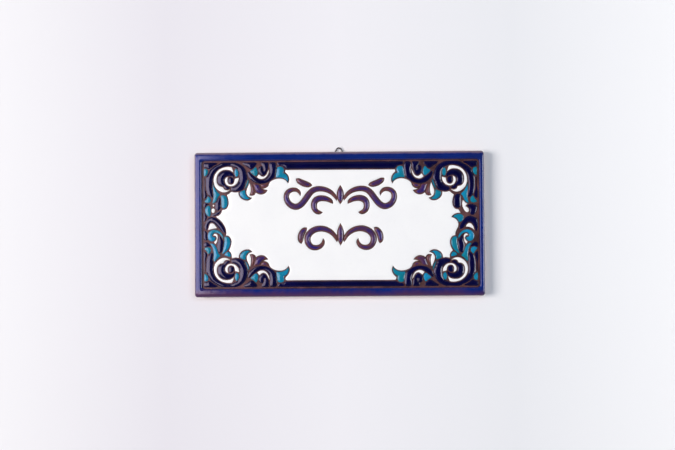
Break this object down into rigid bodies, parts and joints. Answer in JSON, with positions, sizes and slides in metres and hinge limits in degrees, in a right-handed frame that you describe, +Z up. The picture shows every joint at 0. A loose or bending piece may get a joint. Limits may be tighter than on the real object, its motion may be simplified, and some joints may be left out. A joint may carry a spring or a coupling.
{
  "type": "house name plaque",
  "caption": "Rectangular glazed ceramic wall plaque: coloured enamel scrollwork between bare clay lines, raised blue rim, white field with a flourish, and a wire ring behind to hang it by.",
  "frame": {"origin": "the hanging point: the inside of the top of the ring, in the plane of the ring", "axes": "+X to the right seen from the front, +Y into the wall, +Z up; the face looks along -Y"},
  "size_m": [0.28, 0.0138, 0.1452],
  "materials": {
    "fired_clay": "matte",
    "blue_glaze": "gloss",
    "cobalt_glaze": "gloss",
    "turquoise_glaze": "gloss",
    "white_glaze": "gloss",
    "manganese_glaze": "gloss",
    "steel_wire": "satin",
    "bonding_resin": "matte"
  },
  "bodies": {
    "plaque": {"clay_tile": "fired_clay", "blue_border": "blue_glaze", "cobalt_enamel": "cobalt_glaze", "turquoise_enamel": "turquoise_glaze", "white_accents": "white_glaze", "white_field": "white_glaze", "manganese_enamel": "manganese_glaze", "hanger_strap": "steel_wire", "bonding_pad": "bonding_resin"},
    "ring": {"hanger_ring": "steel_wire"}
  },
  "joints": [
    {"name": "ring_swing", "type": "hinge", "parent": "plaque", "child": "ring", "pos_m": [0, 0, -0.01325], "axis": [-1, 0, 0], "range_deg": [-6, 165]}
  ]
}
